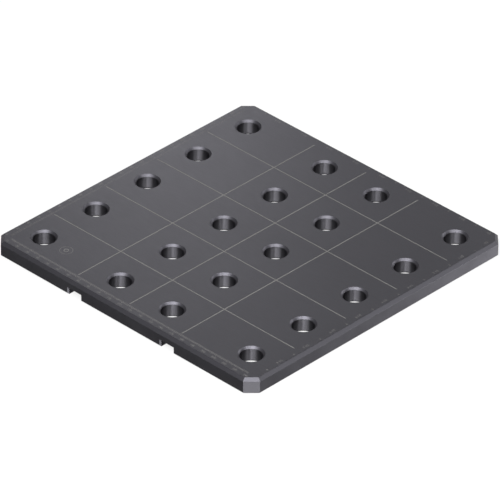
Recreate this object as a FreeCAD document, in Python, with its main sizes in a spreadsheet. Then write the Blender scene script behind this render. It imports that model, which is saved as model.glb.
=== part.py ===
import FreeCAD, Part
import Sketcher
import os

# Fixture plate: one flat steel plate with a grid of chamfered through bores for clamping bolts, scribed
# grid lines on its top face, and two locating slots across its underside.
# Frame: origin at the centre of the underside, +Z up. Rows of bores run along X, slots run along Y.
# Every length is in millimetres.

PLATE = "fixture_plate"

# The driving dimensions: alias, value, meaning.
SIZES = [
    ("grid_pitch", 50.0, "distance from one row of bores to the next"),
    ("row_count", 5, "number of rows of bores"),
    ("inner_column", 25.0, "distance of the inner columns of bores from the middle"),
    ("outer_column", 100.0, "distance of the outer columns of bores from the middle"),
    ("edge_distance", 25.0, "distance of the outermost bores from the edge of the plate"),
    ("thickness", 12.0, "thickness of the plate"),
    ("corner_cut", 8.0, "leg of the 45 degree cut at each upright corner"),
    ("top_chamfer", 2.2, "leg of the chamfer round the top face"),
    ("base_chamfer", 1.0, "leg of the chamfer round the underside"),
    ("bore_diameter", 16.0, "diameter of a bore"),
    ("bore_chamfer", 1.5, "leg of the chamfer at both mouths of a bore"),
    ("slot_from_column", 19.6, "distance of a slot's middle from the inner column of bores"),
    ("slot_width", 11.7, "width of a slot in the underside"),
    ("slot_depth", 5.6, "depth of a slot in the underside"),
    ("slot_mouth_chamfer", 1.0, "leg of the chamfer on the upright edges at a slot's mouths"),
    ("line_width", 0.8, "width of a scribed line"),
    ("line_depth", 0.12, "depth of a scribed line"),
    ("line_margin", 9.25, "distance of the ends of the grid lines from the edge of the plate"),
]

# Sizes that follow from the driving dimensions, as expressions.
PLATE_X = "2 * (sizes.outer_column + sizes.edge_distance)"
PLATE_Y = "(sizes.row_count - 1) * sizes.grid_pitch + 2 * sizes.edge_distance"
TOP = "sizes.thickness"

THROUGH_ALL = "ThroughAll"
POSITION_TOLERANCE = 1e-4

# How a sketch numbers its own axes, its origin and the centre of a circle.
X_AXIS_INDEX = -1
Y_AXIS_INDEX = -2
ORIGIN_INDEX = (-1, 1)
CENTRE_INDEX = 3

# Sketched lines and circles start at this rough size; their constraints then give them the true one.
ROUGH_SIZE = 10.0


def make_sheet(doc):
    """Write the driving dimensions into the spreadsheet, one alias to a row."""
    sheet = doc.addObject("Spreadsheet::Sheet", "sizes")
    for row, (alias, value, meaning) in enumerate(SIZES, start=1):
        sheet.set(f"A{row}", meaning)
        sheet.set(f"B{row}", str(value))
        sheet.setAlias(f"B{row}", alias)
    doc.recompute()
    return sheet


def origin_feature(body, role):
    """Find one of the body's own origin planes or axes by its role."""
    for feature in body.Origin.OriginFeatures:
        if feature.Role == role:
            return feature
    raise ValueError(f"{body.Label} has no origin feature {role}")


def new_sketch(body, name, offsets):
    """Start a sketch parallel to the XY plane, moved by expressions for x, y and z."""
    sketch = body.newObject("Sketcher::SketchObject", name)
    sketch.AttachmentSupport = (origin_feature(body, "XY_Plane"), [""])
    sketch.MapMode = "FlatFace"
    for axis, expression in offsets.items():
        sketch.setExpression(f"AttachmentOffset.Base.{axis}", expression)
    return sketch


def bind_constraint(sketch, constraint, name, expression):
    """Add a constraint that takes its value from an expression."""
    index = sketch.addConstraint(constraint)
    sketch.renameConstraint(index, name)
    sketch.setExpression(f"Constraints.{name}", expression)


def centred_rectangle(sketch, length_x, length_y):
    """Draw a rectangle about the sketch's origin, its two sides bound to expressions."""
    half = ROUGH_SIZE / 2
    places = [(-half, -half), (half, -half), (half, half), (-half, half)]
    corners = [FreeCAD.Vector(x, y, 0) for x, y in places]
    for index, corner in enumerate(corners):
        sketch.addGeometry(Part.LineSegment(corner, corners[(index + 1) % 4]), False)
    for side in range(4):
        sketch.addConstraint(Sketcher.Constraint("Coincident", side, 2, (side + 1) % 4, 1))
    for side, direction in enumerate(("Horizontal", "Vertical", "Horizontal", "Vertical")):
        sketch.addConstraint(Sketcher.Constraint(direction, side))
    sketch.addConstraint(Sketcher.Constraint("Symmetric", 0, 1, 1, 2, *ORIGIN_INDEX))
    along_x = Sketcher.Constraint("DistanceX", 0, 1, 0, 2, ROUGH_SIZE)
    along_y = Sketcher.Constraint("DistanceY", 1, 1, 1, 2, ROUGH_SIZE)
    bind_constraint(sketch, along_x, "length_x", length_x)
    bind_constraint(sketch, along_y, "length_y", length_y)


def circle_pair(sketch, name, centre_distance, diameter):
    """Draw two equal circles on the sketch's X axis, one each side of its origin."""
    first = sketch.GeometryCount
    second = first + 1
    rough_place = FreeCAD.Vector(ROUGH_SIZE * second, 0, 0)
    for centre in (-rough_place, rough_place):
        sketch.addGeometry(Part.Circle(centre, FreeCAD.Vector(0, 0, 1), ROUGH_SIZE / 2), False)
    sketch.addConstraint(Sketcher.Constraint("PointOnObject", first, CENTRE_INDEX, X_AXIS_INDEX))
    mirrored = Sketcher.Constraint("Symmetric", first, CENTRE_INDEX, second, CENTRE_INDEX, Y_AXIS_INDEX)
    sketch.addConstraint(mirrored)
    sketch.addConstraint(Sketcher.Constraint("Equal", first, second))
    rough_distance = 2 * rough_place.x
    distance = Sketcher.Constraint("DistanceX", first, CENTRE_INDEX, second, CENTRE_INDEX, rough_distance)
    bind_constraint(sketch, distance, f"{name}_distance", centre_distance)
    size = Sketcher.Constraint("Diameter", first, ROUGH_SIZE)
    bind_constraint(sketch, size, f"{name}_diameter", diameter)


def new_pad(body, name, sketch, length):
    """Raise a sketch by an expression's length."""
    pad = body.newObject("PartDesign::Pad", name)
    pad.Profile = sketch
    pad.setExpression("Length", length)
    return pad


def new_pocket(body, name, sketch, depth, upwards=False):
    """Cut a sketch down, or upwards, by an expression's depth or right through."""
    pocket = body.newObject("PartDesign::Pocket", name)
    pocket.Profile = sketch
    pocket.Reversed = upwards
    if depth == THROUGH_ALL:
        pocket.Type = THROUGH_ALL
    else:
        pocket.Type = "Length"
        pocket.setExpression("Length", depth)
    return pocket


def new_pattern(body, name, feature, axis_role, length, count):
    """Repeat a feature along one of the body's axes."""
    pattern = body.newObject("PartDesign::LinearPattern", name)
    pattern.Originals = [feature]
    pattern.Direction = (origin_feature(body, axis_role), [""])
    pattern.setExpression("Length", length)
    pattern.setExpression("Occurrences", count)
    body.Tip = pattern
    return pattern


def new_chamfer(body, name, base, size, is_wanted):
    """Chamfer the edges of a feature that pass a test."""
    edges = [f"Edge{index}" for index, edge in enumerate(base.Shape.Edges, start=1) if is_wanted(edge)]
    if not edges:
        raise ValueError(f"{name} finds no edge to chamfer")
    chamfer = body.newObject("PartDesign::Chamfer", name)
    chamfer.Base = (base, edges)
    chamfer.setExpression("Size", size)
    body.Tip = chamfer
    return chamfer


def is_upright(edge):
    """Tell whether an edge is a straight line along Z."""
    if edge.Curve.TypeId != "Part::GeomLine":
        return False
    return abs(edge.Curve.Direction.z) > 1 - POSITION_TOLERANCE


def is_circle(edge):
    """Tell whether an edge is round."""
    return edge.Curve.TypeId == "Part::GeomCircle"


def lies_at(edge, height):
    """Tell whether a whole edge lies at one height."""
    box = edge.BoundBox
    return abs(box.ZMin - height) < POSITION_TOLERANCE and abs(box.ZMax - height) < POSITION_TOLERANCE


def build_blank(body, sheet):
    """Make the plate's blank: a rectangle with its corners cut and its edges chamfered."""
    outline = new_sketch(body, "outline", {})
    centred_rectangle(outline, PLATE_X, PLATE_Y)
    slab = new_pad(body, "slab", outline, TOP)
    body.Document.recompute()
    corners = new_chamfer(body, "corner_cuts", slab, "sizes.corner_cut", is_upright)
    body.Document.recompute()
    thickness = sheet.thickness
    top = new_chamfer(body, "top_edges", corners, "sizes.top_chamfer", lambda edge: lies_at(edge, thickness))
    body.Document.recompute()
    new_chamfer(body, "base_edges", top, "sizes.base_chamfer", lambda edge: lies_at(edge, 0))


def build_bores(body):
    """Bore one row of four holes through the plate, repeat it, and chamfer every mouth."""
    first_row = "-0.5 * (sizes.row_count - 1) * sizes.grid_pitch"
    row = new_sketch(body, "bore_row", {"y": first_row, "z": TOP})
    circle_pair(row, "inner", "2 * sizes.inner_column", "sizes.bore_diameter")
    circle_pair(row, "outer", "2 * sizes.outer_column", "sizes.bore_diameter")
    bores = new_pocket(body, "bores", row, THROUGH_ALL)
    rows_length = "(sizes.row_count - 1) * sizes.grid_pitch"
    rows = new_pattern(body, "bore_rows", bores, "Y_Axis", rows_length, "sizes.row_count")
    body.Document.recompute()
    new_chamfer(body, "bore_mouths", rows, "sizes.bore_chamfer", is_circle)


def build_slots(body, sheet):
    """Mill the two slots across the underside and chamfer the upright edges at their mouths."""
    slot_middle = "sizes.inner_column + sizes.slot_from_column"
    pockets = []
    for name, side in (("left_slot", "-1"), ("right_slot", "1")):
        sketch = new_sketch(body, f"{name}_outline", {"x": f"{side} * ({slot_middle})"})
        centred_rectangle(sketch, "sizes.slot_width", PLATE_Y)
        pockets.append(new_pocket(body, name, sketch, "sizes.slot_depth", upwards=True))
        body.Document.recompute()
    half_y = pockets[-1].Shape.BoundBox.YMax
    reach = sheet.inner_column + sheet.slot_from_column + sheet.slot_width

    def is_mouth_edge(edge):
        middle = edge.BoundBox.Center
        at_side = abs(abs(middle.y) - half_y) < POSITION_TOLERANCE
        return is_upright(edge) and at_side and abs(middle.x) < reach

    new_chamfer(body, "slot_mouths", pockets[-1], "sizes.slot_mouth_chamfer", is_mouth_edge)


def build_lines(body):
    """Scribe the grid lines between the bores."""
    pitch = "sizes.grid_pitch"
    grid_x = f"{PLATE_X} - 2 * sizes.line_margin"
    grid_y = f"{PLATE_Y} - 2 * sizes.line_margin"

    across = new_sketch(body, "line_across", {"y": f"-0.5 * (sizes.row_count - 2) * {pitch}", "z": TOP})
    centred_rectangle(across, grid_x, "sizes.line_width")
    across_cut = new_pocket(body, "line_across_cut", across, "sizes.line_depth")
    across_length = f"(sizes.row_count - 2) * {pitch}"
    new_pattern(body, "lines_across", across_cut, "Y_Axis", across_length, "sizes.row_count - 1")
    body.Document.recompute()

    along = new_sketch(body, "line_along", {"x": f"-{pitch}", "z": TOP})
    centred_rectangle(along, "sizes.line_width", grid_y)
    along_cut = new_pocket(body, "line_along_cut", along, "sizes.line_depth")
    new_pattern(body, "lines_along", along_cut, "X_Axis", f"2 * {pitch}", "3")


def build_plate(doc, sheet):
    """Make the plate as one body."""
    body = doc.addObject("PartDesign::Body", PLATE)
    body.Label = PLATE
    body.Placement = FreeCAD.Placement()
    build_blank(body, sheet)
    build_bores(body)
    build_slots(body, sheet)
    build_lines(body)
    doc.recompute()
    return body


def check_document(doc, bodies):
    """Stop with a plain message if a feature failed or a body has no sound shape."""
    for item in doc.Objects:
        if "Invalid" in item.State or "Error" in item.State:
            raise RuntimeError(f"{item.Name} failed: {item.State}")
    for body in bodies:
        if body.Shape.isNull() or not body.Shape.isValid():
            raise RuntimeError(f"{body.Label} has no valid shape")


def main():
    doc = FreeCAD.newDocument("fixture_plate_document")
    sheet = make_sheet(doc)
    bodies = [build_plate(doc, sheet)]
    check_document(doc, bodies)
    os.makedirs("parts", exist_ok=True)
    for body in bodies:
        body.Shape.exportStep(f"parts/{body.Label}.step")
        box = body.Shape.BoundBox
        size = f"{box.XLength:.2f} x {box.YLength:.2f} x {box.ZLength:.2f} mm"
        solids = len(body.Shape.Solids)
        print(f"{body.Label}: {solids} solid, {size}, volume {body.Shape.Volume / 1000:.2f} cm3")


main()
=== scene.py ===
"""Looks for a fixture plate: a nitrided steel plate with chamfered bores, scribed lines and engraved rules.

Everything is in metres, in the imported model's own frame: origin at the centre of the underside, +Z up.
"""
import bmesh
import bpy
import math
from mathutils import Matrix, Vector


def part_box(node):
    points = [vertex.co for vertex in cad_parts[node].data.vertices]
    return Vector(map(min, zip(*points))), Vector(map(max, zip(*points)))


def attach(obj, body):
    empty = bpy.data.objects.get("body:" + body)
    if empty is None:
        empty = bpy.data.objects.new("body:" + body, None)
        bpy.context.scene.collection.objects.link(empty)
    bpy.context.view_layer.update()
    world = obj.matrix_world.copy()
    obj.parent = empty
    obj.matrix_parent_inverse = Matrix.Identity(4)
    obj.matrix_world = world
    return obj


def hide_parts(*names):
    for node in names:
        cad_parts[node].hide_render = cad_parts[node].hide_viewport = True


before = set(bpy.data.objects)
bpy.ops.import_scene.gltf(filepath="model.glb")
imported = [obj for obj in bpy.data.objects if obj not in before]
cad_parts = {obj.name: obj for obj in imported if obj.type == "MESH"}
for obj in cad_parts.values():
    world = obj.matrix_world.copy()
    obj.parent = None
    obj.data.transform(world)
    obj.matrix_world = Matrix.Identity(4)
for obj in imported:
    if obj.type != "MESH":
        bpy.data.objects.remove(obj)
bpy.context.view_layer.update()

MM = 0.001
BODY = "root"
CAD_NODE = "fixture_plate"

# ---------------------------------------------------------------- sizes, in millimetres
_, high = (Vector(corner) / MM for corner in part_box(CAD_NODE))
HALF_X = high.x
HALF_Y = high.y
THICKNESS = high.z

CORNER_CUT = 8.0
TOP_CHAMFER = 2.2
BASE_CHAMFER = 1.0
GRID_PITCH = 50.0
INNER_COLUMN = 25.0
OUTER_COLUMN = 100.0
COLUMNS = (-OUTER_COLUMN, -INNER_COLUMN, INNER_COLUMN, OUTER_COLUMN)
ROWS = [row * GRID_PITCH for row in (-2, -1, 0, 1, 2)]
BORE_RADIUS = 8.0
BORE_CHAMFER = 1.5
SLOT_FROM_COLUMN = 19.6
SLOT_CENTRE = INNER_COLUMN + SLOT_FROM_COLUMN
SLOT_WIDTH = 11.7
SLOT_DEPTH = 5.6
SLOT_MOUTH_CHAMFER = 1.0

LINES_ALONG_Y = [line * GRID_PITCH for line in (-1, 0, 1)]
LINES_ALONG_X = [line * GRID_PITCH for line in (-1.5, -0.5, 0.5, 1.5)]
LINE_MARGIN = 9.25
LINE_REACH = HALF_X - LINE_MARGIN       # the plate is square
LINE_WIDTH = 0.8
LINE_FLOOR_WIDTH = 0.6
LINE_DEPTH = 0.12

EDGE_ROUNDING = 0.08
BORE_SEGMENTS = 96
RIM = 1.0               # flat strip inside the chamfers, so that their inner edges can be rounded
OVERSHOOT = 1.0         # how far a slot's cutter stands out of the plate
CUTTER_FLARE = 1.5      # how much a bore's cutter widens above and below the plate ...
CUTTER_RISE = 0.5       # ... over this height
SMOOTH_ANGLE = 30.0     # edges sharper than this many degrees stay sharp
UPRIGHT = 0.2           # faces whose normal rises less than this count as upright

MARK_PROUD = 0.02
MARK_SUNK = 0.08

WELD_MESH = 1e-7        # in metres, on finished meshes
WELD_MARKS = 1e-5       # in millimetres, on marks that are still being built


# ---------------------------------------------------------------- meshes
def new_object(name, bm, material):
    """Turn a bmesh in millimetres into an object in metres with one material."""
    bmesh.ops.scale(bm, vec=(MM, MM, MM), verts=bm.verts)
    bmesh.ops.recalc_face_normals(bm, faces=bm.faces)
    mesh = bpy.data.meshes.new(name)
    bm.to_mesh(mesh)
    bm.free()
    mesh.materials.append(material)
    piece = bpy.data.objects.new(name, mesh)
    bpy.context.scene.collection.objects.link(piece)
    return piece


def add_loft(bm, rings):
    """Skin a stack of equally long rings and close both ends."""
    loops = [[bm.verts.new(point) for point in ring] for ring in rings]
    count = len(loops[0])
    for below, above in zip(loops, loops[1:]):
        for i in range(count):
            j = (i + 1) % count
            bm.faces.new((below[i], below[j], above[j], above[i]))
    bm.faces.new(loops[0][::-1])
    bm.faces.new(loops[-1])


def rounded_step(start, corner, end, radius):
    """Two points that cut off a profile's corner at the radius from it, and one between them."""
    start, corner, end = Vector(start), Vector(corner), Vector(end)
    before = corner + (start - corner).normalized() * radius
    after = corner + (end - corner).normalized() * radius
    middle = (before + after) / 4 + corner / 2
    return [before, middle, after]


def rounded_profile(points, radius):
    """A profile with each inner corner rounded off by three points."""
    profile = [Vector(points[0])]
    for start, corner, end in zip(points, points[1:], points[2:]):
        profile += rounded_step(start, corner, end, radius)
    profile.append(Vector(points[-1]))
    return profile


def octagon(inset):
    """The plate's outline drawn in by the inset, with its eight corners slightly rounded."""
    x, y = HALF_X - inset, HALF_Y - inset
    cut = CORNER_CUT - inset * (2 - math.sqrt(2))
    corners = [(x, -y + cut), (x, y - cut), (x - cut, y), (-x + cut, y),
               (-x, y - cut), (-x, -y + cut), (-x + cut, -y), (x - cut, -y)]
    ring = []
    for i, corner in enumerate(corners):
        ring += rounded_step(corners[i - 1], corner, corners[(i + 1) % len(corners)], EDGE_ROUNDING)
    return ring


def blank_mesh():
    """The bare plate: an octagonal outline with a chamfer at the top and a smaller one at the bottom."""
    profile = [(BASE_CHAMFER + RIM, 0), (BASE_CHAMFER, 0), (0, BASE_CHAMFER),
               (0, THICKNESS - TOP_CHAMFER), (TOP_CHAMFER, THICKNESS), (TOP_CHAMFER + RIM, THICKNESS)]
    bm = bmesh.new()
    rings = [[(p.x, p.y, z) for p in octagon(inset)]
             for inset, z in rounded_profile(profile, EDGE_ROUNDING)]
    add_loft(bm, rings)
    return bm


def bore_cutters():
    """Twenty double-chamfered pins, one for each bore."""
    mouth = BORE_RADIUS + BORE_CHAMFER
    profile = [(mouth + CUTTER_FLARE, -CUTTER_RISE), (mouth, 0),
               (BORE_RADIUS, BORE_CHAMFER), (BORE_RADIUS, THICKNESS - BORE_CHAMFER),
               (mouth, THICKNESS), (mouth + CUTTER_FLARE, THICKNESS + CUTTER_RISE)]
    turn = [2 * math.pi * i / BORE_SEGMENTS for i in range(BORE_SEGMENTS)]
    bm = bmesh.new()
    for x in COLUMNS:
        for y in ROWS:
            rings = [[(x + radius * math.cos(a), y + radius * math.sin(a), z) for a in turn]
                     for radius, z in rounded_profile(profile, EDGE_ROUNDING)]
            add_loft(bm, rings)
    return bm


def slot_cutters():
    """The two slots across the underside, flared where they meet the edges of the plate."""
    half = SLOT_WIDTH / 2
    section = [(-half, -OVERSHOOT), (half, -OVERSHOOT), (half, SLOT_DEPTH), (-half, SLOT_DEPTH)]
    outside, flare = HALF_Y + OVERSHOOT, SLOT_MOUTH_CHAMFER + OVERSHOOT
    inside = HALF_Y - SLOT_MOUTH_CHAMFER
    stations = [(-outside, flare), (-inside, 0), (inside, 0), (outside, flare)]
    bm = bmesh.new()
    for centre in (-SLOT_CENTRE, SLOT_CENTRE):
        rings = [[(centre + across + math.copysign(widening, across), place, height)
                  for across, height in section] for place, widening in stations]
        add_loft(bm, rings)
    return bm


def line_cutters(places, along):
    """Scribed lines: narrow bars with a tapered floor, sunk into the top face."""
    foot = LINE_FLOOR_WIDTH / 2
    over = LINE_WIDTH - foot        # as far above the face as the floor is below it
    section = [(-over, THICKNESS + LINE_DEPTH), (-foot, THICKNESS - LINE_DEPTH),
               (foot, THICKNESS - LINE_DEPTH), (over, THICKNESS + LINE_DEPTH)]
    bm = bmesh.new()
    for place in places:
        rings = []
        for end in (-LINE_REACH, LINE_REACH):
            rings.append([(end, place + across, height) if along == "x" else
                          (place + across, end, height) for across, height in section])
        add_loft(bm, rings)
    return bm


def cut(piece, bm, material):
    """Take a cutter's shape out of a piece; the cut faces get the cutter's material."""
    cutter = new_object("cutter", bm, material)
    modifier = piece.modifiers.new("cut", "BOOLEAN")
    modifier.operation = "DIFFERENCE"
    modifier.solver = "EXACT"
    modifier.object = cutter
    modifier.material_mode = "TRANSFER"
    bake_modifiers(piece)
    bpy.data.objects.remove(cutter)


def bake_modifiers(piece):
    """Replace a piece's mesh by what its modifiers make of it."""
    shown = piece.evaluated_get(bpy.context.evaluated_depsgraph_get())
    mesh = bpy.data.meshes.new_from_object(shown)
    piece.modifiers.clear()
    piece.data = mesh


def finish_mesh(piece):
    """Weld, triangulate and shade a piece: smooth curves, flat flats, sharp corners."""
    bm = bmesh.new()
    bm.from_mesh(piece.data)
    bmesh.ops.remove_doubles(bm, verts=bm.verts, dist=WELD_MESH)
    bmesh.ops.dissolve_degenerate(bm, edges=bm.edges, dist=WELD_MESH)
    bmesh.ops.triangulate(bm, faces=bm.faces)
    bm.to_mesh(piece.data)
    bm.free()
    piece.data.polygons.foreach_set("use_smooth", [True] * len(piece.data.polygons))
    piece.data.set_sharp_from_angle(angle=math.radians(SMOOTH_ANGLE))
    weighted = piece.modifiers.new("weighted", "WEIGHTED_NORMAL")
    weighted.keep_sharp = True
    weighted.weight = 100
    bake_modifiers(piece)


# ---------------------------------------------------------------- materials
class Graph:
    """A small helper round a material's node tree."""

    def __init__(self, name):
        self.material = bpy.data.materials.new(name)
        self.material.use_nodes = True
        self.tree = self.material.node_tree
        self.tree.nodes.clear()

    def add(self, kind, **settings):
        """Add a node; settings name its inputs, or its properties where it has no such input."""
        node = self.tree.nodes.new(kind)
        for key, value in settings.items():
            label = key.replace("_", " ")
            if label in node.inputs:
                node.inputs[label].default_value = value
            else:
                setattr(node, key, value)
        return node

    def link(self, source, target):
        self.tree.links.new(source, target)

    def surface(self, shader):
        """Make a shader the material's surface."""
        out = self.add("ShaderNodeOutputMaterial")
        self.link(shader.outputs[0], out.inputs["Surface"])

    def noise(self, **settings):
        """Noise fixed to the object; returns its value."""
        place = self.add("ShaderNodeTexCoord")
        node = self.add("ShaderNodeTexNoise", **settings)
        self.link(place.outputs["Object"], node.inputs["Vector"])
        return node.outputs["Fac"]

    def lines(self, stretch, **settings):
        """Noise pulled out into lines: the stretch is its scale along each axis."""
        place = self.add("ShaderNodeTexCoord")
        mapping = self.add("ShaderNodeMapping")
        mapping.inputs["Scale"].default_value = stretch
        self.link(place.outputs["Object"], mapping.inputs["Vector"])
        node = self.add("ShaderNodeTexNoise", Scale=1.0, **settings)
        self.link(mapping.outputs["Vector"], node.inputs["Vector"])
        return node.outputs["Fac"]

    def colour(self, value, dark, light, spread, shader):
        """Colour a shader from dark to light where the value runs 0.5 - spread to 0.5 + spread."""
        ramp = self.add("ShaderNodeValToRGB")
        for stop, place, shade in zip(ramp.color_ramp.elements, (0.5 - spread, 0.5 + spread), (dark, light)):
            stop.position = place
            stop.color = (*shade, 1)
        self.link(value, ramp.inputs["Fac"])
        self.link(ramp.outputs["Color"], shader.inputs["Base Color"])

    def bump(self, value, strength, distance, shader):
        """Raise a shader's surface by the value, at most by the distance in metres."""
        node = self.add("ShaderNodeBump", Strength=strength, Distance=distance)
        self.link(value, node.inputs["Height"])
        self.link(node.outputs["Normal"], shader.inputs["Normal"])


GRINDING_GLOSS = (-0.04, 0.05)          # how far the grinding lines shift the roughness


def steel(name, dark, light, roughness, grain):
    """Nitrided ground steel: cloudy colour, fine grinding lines, a soft sheen."""
    g = Graph(name)
    shader = g.add("ShaderNodeBsdfPrincipled", Metallic=0.85, Specular_IOR_Level=0.3)
    g.surface(shader)

    blend = g.add("ShaderNodeMix", data_type="FLOAT", Factor=0.35)
    g.link(g.noise(Scale=14.0, Detail=5.0, Roughness=0.55), blend.inputs["A"])
    g.link(g.noise(Scale=900.0, Detail=3.0, Roughness=0.6), blend.inputs["B"])
    g.colour(blend.outputs[0], dark, light, 0.2, shader)

    scratches = g.lines((120.0, 5200.0, 5200.0), Detail=2.0, Roughness=0.5)
    smoother, rougher = (roughness + shift for shift in GRINDING_GLOSS)
    gloss = g.add("ShaderNodeMapRange", From_Min=0.3, From_Max=0.7, To_Min=smoother, To_Max=rougher)
    g.link(scratches, gloss.inputs["Value"])
    g.link(gloss.outputs["Result"], shader.inputs["Roughness"])
    g.bump(scratches, grain, 0.00002, shader)
    return g.material


def machined(name, dark, light, edge_tint):
    """Steel with fine tool lines running level round its vertical faces, which draw highlights upright."""
    g = Graph(name)
    shader = g.add("ShaderNodeBsdfPrincipled", Metallic=1.0, Roughness=0.6, Anisotropic=1.0,
                   Specular_Tint=(edge_tint, edge_tint, edge_tint, 1))
    g.surface(shader)
    upright = g.add("ShaderNodeCombineXYZ", Z=1.0)
    g.link(upright.outputs[0], shader.inputs["Tangent"])
    g.colour(g.noise(Scale=60.0, Detail=5.0, Roughness=0.55), dark, light, 0.2, shader)
    g.bump(g.lines((60.0, 60.0, 2600.0), Detail=3.0, Roughness=0.6), 0.2, 0.00003, shader)
    return g.material


def engraved(name, dark, light):
    """The pale matt metal that an engraving needle lays bare."""
    g = Graph(name)
    shader = g.add("ShaderNodeBsdfPrincipled", Metallic=0.0, Roughness=0.7, Specular_IOR_Level=0.15)
    g.surface(shader)
    grain = g.noise(Scale=700.0, Detail=3.0)
    g.colour(grain, dark, light, 0.15, shader)
    g.bump(grain, 0.3, 0.00002, shader)
    return g.material


plate_steel = steel("nitrided_steel", (0.064, 0.0625, 0.072), (0.071, 0.0695, 0.080), 0.45, 0.25)
turned_steel = steel("turned_steel", (0.080, 0.078, 0.090), (0.089, 0.087, 0.100), 0.43, 0.25)
machined_steel = machined("machined_steel", (0.09, 0.088, 0.098), (0.11, 0.108, 0.12), 0.3)
# painted shade: a near-black copy of the machined steel for the bores' downward-facing lower chamfers,
# standing in for the shade under the plate
painted_shade_steel = machined("painted_shade_steel", (0.012, 0.012, 0.014), (0.018, 0.018, 0.020), 0.1)
scribed = engraved("scribed_line", (0.116, 0.113, 0.110), (0.138, 0.135, 0.131))
marking = engraved("engraved_mark", (0.115, 0.111, 0.110), (0.136, 0.132, 0.131))

# ---------------------------------------------------------------- the plate
plate = new_object("plate", blank_mesh(), plate_steel)
cut(plate, slot_cutters(), plate_steel)
cut(plate, bore_cutters(), turned_steel)
plate.data.materials.append(machined_steel)
plate.data.materials.append(painted_shade_steel)
turned_at, machined_at, painted_shade_at = (
    plate.data.materials.find(metal.name) for metal in (turned_steel, machined_steel, painted_shade_steel))
for face in plate.data.polygons:
    if abs(face.normal.z) < UPRIGHT:
        face.material_index = machined_at
    # downward-facing bore faces get the near-black steel, which is painted shade for the dark under the
    # plate
    elif face.material_index == turned_at and face.normal.z < 0:
        face.material_index = painted_shade_at
cut(plate, line_cutters(LINES_ALONG_X, "x"), scribed)
cut(plate, line_cutters(LINES_ALONG_Y, "y"), scribed)
finish_mesh(plate)
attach(plate, BODY)
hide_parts(CAD_NODE)

# ---------------------------------------------------------------- rules along the edges
DIGIT_HEIGHT = 1.8
CAPITAL_SHARE = 0.73    # how much of the font's size a figure is high
FIGURE_CURVE_STEPS = 3
TICK_WIDTHS = {"front": 0.35, "left": 0.2}
TICK_FOOT = 116.6
TICK_LENGTHS = {1: 1.7, 5: 2.1, 10: 2.5}
METRIC_NUMBER_AT = 120.8
METRIC_STEPS = round(2 * HALF_X)
INCH = 25.4
INCHES = 9
INCH_NUMBER_AT = 120.9
HALF_INCH_NUMBER_AT = 119.85
INCH_SHIFTS = {"back": (0.4, 0.75), "right": (-2.15, -2.3)}     # of the whole and of the half inches
RING_CENTRE = Vector((-77.5, -100.5))
RING_SEGMENTS = 64
RINGS = [(4.6, 0.3), (1.6, 0.6)]


def add_box(bm, x0, x1, y0, y1):
    """One flat closed mark on the top face."""
    z0, z1 = THICKNESS - MARK_SUNK, THICKNESS + MARK_PROUD
    add_loft(bm, [[(x0, y0, z), (x1, y0, z), (x1, y1, z), (x0, y1, z)] for z in (z0, z1)])


def add_text(bm, text, height, place, turn):
    """Plain figures, centred on a place on the top face and turned about it."""
    curve = bpy.data.curves.new("figures", "FONT")
    curve.body = text
    curve.size = height / CAPITAL_SHARE
    curve.align_x = "CENTER"
    curve.align_y = "CENTER"
    curve.resolution_u = FIGURE_CURVE_STEPS
    curve.extrude = (MARK_PROUD + MARK_SUNK) / 2
    figures = bpy.data.objects.new("figures", curve)
    bpy.context.scene.collection.objects.link(figures)
    shown = figures.evaluated_get(bpy.context.evaluated_depsgraph_get())
    mesh = bpy.data.meshes.new_from_object(shown)
    centre_z = THICKNESS + (MARK_PROUD - MARK_SUNK) / 2
    mesh.transform(Matrix.Translation((*place, centre_z)) @ Matrix.Rotation(turn, 4, "Z"))
    bm.from_mesh(mesh)
    bpy.data.objects.remove(figures)
    bpy.data.meshes.remove(mesh)
    bpy.data.curves.remove(curve)


def weld(bm):
    """Join points that lie on one another, and drop faces without area."""
    bmesh.ops.remove_doubles(bm, verts=bm.verts, dist=WELD_MARKS)
    bmesh.ops.dissolve_degenerate(bm, edges=bm.edges, dist=WELD_MARKS)
    return bm


def metric_rule(side):
    """Millimetre ticks with a number at each ten, along the front or the left edge."""
    bm = bmesh.new()

    def mark(u0, u1, v0, v1):
        if side == "front":
            add_box(bm, u0, u1, -v1, -v0)
        else:
            add_box(bm, -v1, -v0, u0, u1)

    width = TICK_WIDTHS[side]
    reach = HALF_X - TOP_CHAMFER - CORNER_CUT
    for step in range(1, METRIC_STEPS):
        u = step - HALF_X
        if abs(u) > reach:
            continue
        length = TICK_LENGTHS[10 if step % 10 == 0 else 5 if step % 5 == 0 else 1]
        mark(u - width / 2, u + width / 2, TICK_FOOT, TICK_FOOT + length)
    for number in range(10, METRIC_STEPS, 10):
        u = number - HALF_X
        if side == "front":
            add_text(bm, str(number), DIGIT_HEIGHT, (u, -METRIC_NUMBER_AT), 0)
        else:
            add_text(bm, str(number), DIGIT_HEIGHT, (-METRIC_NUMBER_AT, u), -math.pi / 2)
    return weld(bm)


def inch_rule(side):
    """Inch figures, with the halves between them, along the back or the right edge."""
    bm = bmesh.new()
    whole_shift, half_shift = INCH_SHIFTS[side]

    def figure(text, along, out):
        if side == "back":
            add_text(bm, text, DIGIT_HEIGHT, (along, out), 0)
        else:
            add_text(bm, text, DIGIT_HEIGHT, (out, along), math.pi / 2)

    for n in range(INCHES + 1):
        if n:
            figure(str(n), HALF_X - n * INCH + whole_shift, INCH_NUMBER_AT)
        if n < INCHES:
            half = HALF_X - (n + 0.5) * INCH
            figure(f"{n or ''} 1/2".strip(), half + half_shift, HALF_INCH_NUMBER_AT)
    return weld(bm)


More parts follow.
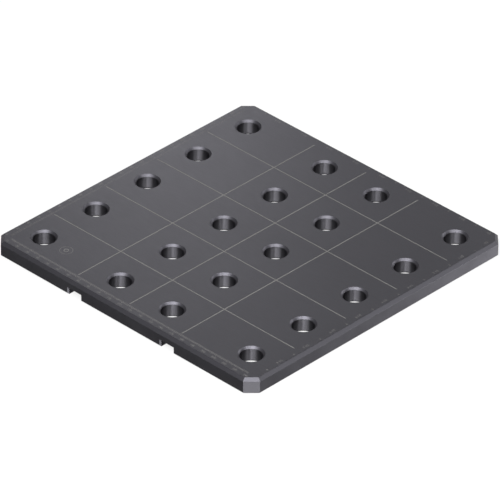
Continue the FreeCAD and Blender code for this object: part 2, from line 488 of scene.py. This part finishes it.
def add_ring(bm, centre, radius, width):
    """One flat closed ring on the top face."""
    z0, z1 = THICKNESS - MARK_SUNK, THICKNESS + MARK_PROUD
    inner, outer = radius - width / 2, radius + width / 2
    section = [(inner, z0), (outer, z0), (outer, z1), (inner, z1)]
    loops = []
    for i in range(RING_SEGMENTS):
        a = 2 * math.pi * i / RING_SEGMENTS
        loops.append([bm.verts.new((centre.x + r * math.cos(a), centre.y + r * math.sin(a), z))
                      for r, z in section])
    for here, after in zip(loops, loops[1:] + loops[:1]):
        for j in range(len(section)):
            k = (j + 1) % len(section)
            bm.faces.new((here[j], here[k], after[k], after[j]))


def ring_mark():
    """Two small engraved rings, one in the other, near the front left corner."""
    bm = bmesh.new()
    for radius, width in RINGS:
        add_ring(bm, RING_CENTRE, radius, width)
    return bm


marks = {
    "metric_rule_front": metric_rule("front"),
    "metric_rule_left": metric_rule("left"),
    "inch_rule_back": inch_rule("back"),
    "inch_rule_right": inch_rule("right"),
    "ring_mark": ring_mark(),
}
for name, bm in marks.items():
    piece = new_object(name, bm, marking)
    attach(piece, BODY)

# ---------------------------------------------------------------- floor, world, lamps
WHITE = (1.0, 1.0, 1.0, 1.0)
FLOOR_HALF = 8.0
FLOOR_DROP = 0.0002
FLOOR_CELLS = 8
FLOOR_GLOW = 0.75
FLOOR_GREY = (0.6, 0.6, 0.6, 1)         # as it lights the plate
FLOOR_SHADOW_GREY = (0.2, 0.2, 0.2, 1)  # under the glow, to keep the shadow
WORLD_STRENGTH = 0.2


def seen_directly(g):
    """1 for camera, glossy and transmission rays, 0 for all others."""
    rays = g.add("ShaderNodeLightPath")
    either = g.add("ShaderNodeMath", operation="MAXIMUM")
    g.link(rays.outputs["Is Camera Ray"], either.inputs[0])
    g.link(rays.outputs["Is Glossy Ray"], either.inputs[1])
    any_of = g.add("ShaderNodeMath", operation="MAXIMUM")
    g.link(either.outputs[0], any_of.inputs[0])
    g.link(rays.outputs["Is Transmission Ray"], any_of.inputs[1])
    return any_of.outputs[0]


def floor_material():
    """A pale floor that keeps soft shadows and shows as white."""
    g = Graph("floor")
    plain = g.add("ShaderNodeBsdfDiffuse", Color=FLOOR_GREY)
    shadowed = g.add("ShaderNodeBsdfDiffuse", Color=FLOOR_SHADOW_GREY)
    glow = g.add("ShaderNodeEmission", Color=WHITE, Strength=FLOOR_GLOW)
    white = g.add("ShaderNodeAddShader")
    g.link(shadowed.outputs[0], white.inputs[0])
    g.link(glow.outputs[0], white.inputs[1])
    mix = g.add("ShaderNodeMixShader")
    g.link(seen_directly(g), mix.inputs[0])
    g.link(plain.outputs[0], mix.inputs[1])
    g.link(white.outputs[0], mix.inputs[2])
    g.surface(mix)
    return g.material


bm = bmesh.new()
bmesh.ops.create_grid(bm, x_segments=FLOOR_CELLS, y_segments=FLOOR_CELLS, size=FLOOR_HALF / MM)
floor = new_object("floor", bm, floor_material())
floor.location.z = -FLOOR_DROP

world = bpy.data.worlds.new("studio")
world.use_nodes = True
ambient = world.node_tree.nodes["Background"]
ambient.inputs["Color"].default_value = WHITE
ambient.inputs["Strength"].default_value = WORLD_STRENGTH
bpy.context.scene.world = world

# name, azimuth (0 = in front, along -Y; 90 = right, along +X), elevation, distance, size, watts
LAMPS = [
    ("front", 15.0, 45.0, 1.7, 1.0, 21.6),
    ("key", 44.0, 52.0, 1.7, 0.9, 10.7),
    ("key_low", 44.0, 33.0, 1.7, 0.3, 11.3),
    ("right", 85.0, 50.0, 1.7, 0.4, 9.3),
    ("side", 135.0, 5.0, 1.7, 0.12, 15.5),
    ("side_back", 150.0, 5.0, 1.7, 0.12, 20.0),
    ("back_right", 200.0, 25.0, 0.7, 0.3, 0.27),
    ("back_left", 232.0, 25.0, 0.7, 0.3, 0.74),
]


def direction(azimuth, elevation):
    """The way from the plate towards an azimuth and elevation in degrees."""
    a, e = math.radians(azimuth), math.radians(elevation)
    return Vector((math.sin(a) * math.cos(e), -math.cos(a) * math.cos(e), math.sin(e)))


for name, azimuth, elevation, distance, size, watts in LAMPS:
    light = bpy.data.lights.new(name, "AREA")
    light.shape = "DISK"
    light.size = size
    light.energy = watts
    lamp = bpy.data.objects.new(name, light)
    bpy.context.scene.collection.objects.link(lamp)
    away = direction(azimuth, elevation)
    lamp.location = away * distance
    lamp.rotation_euler = away.to_track_quat("Z", "Y").to_euler()

# ---------------------------------------------------------------- camera
CAMERA_AZIMUTH = 44.377
CAMERA_ELEVATION = 33.627
CAMERA_DISTANCE = 4.348
CAMERA_ROLL = 0.325
CAMERA_TARGET = Vector((0.01138, -0.01119, 0.012))
CAMERA_LENS = 456.35
SENSOR_WIDTH = 36.0
CLIP_START, CLIP_END = 0.05, 100.0

lens = bpy.data.cameras.new("camera")
lens.lens = CAMERA_LENS
lens.sensor_width = SENSOR_WIDTH
lens.clip_start = CLIP_START
lens.clip_end = CLIP_END
camera = bpy.data.objects.new("camera", lens)
bpy.context.scene.collection.objects.link(camera)
back = direction(CAMERA_AZIMUTH, CAMERA_ELEVATION)
camera.location = CAMERA_TARGET + back * CAMERA_DISTANCE
aim = back.to_track_quat("Z", "Y").to_matrix()
camera.rotation_euler = (aim @ Matrix.Rotation(math.radians(CAMERA_ROLL), 3, "Z")).to_euler()
bpy.context.scene.camera = camera

bpy.context.scene.view_settings.view_transform = "Standard"
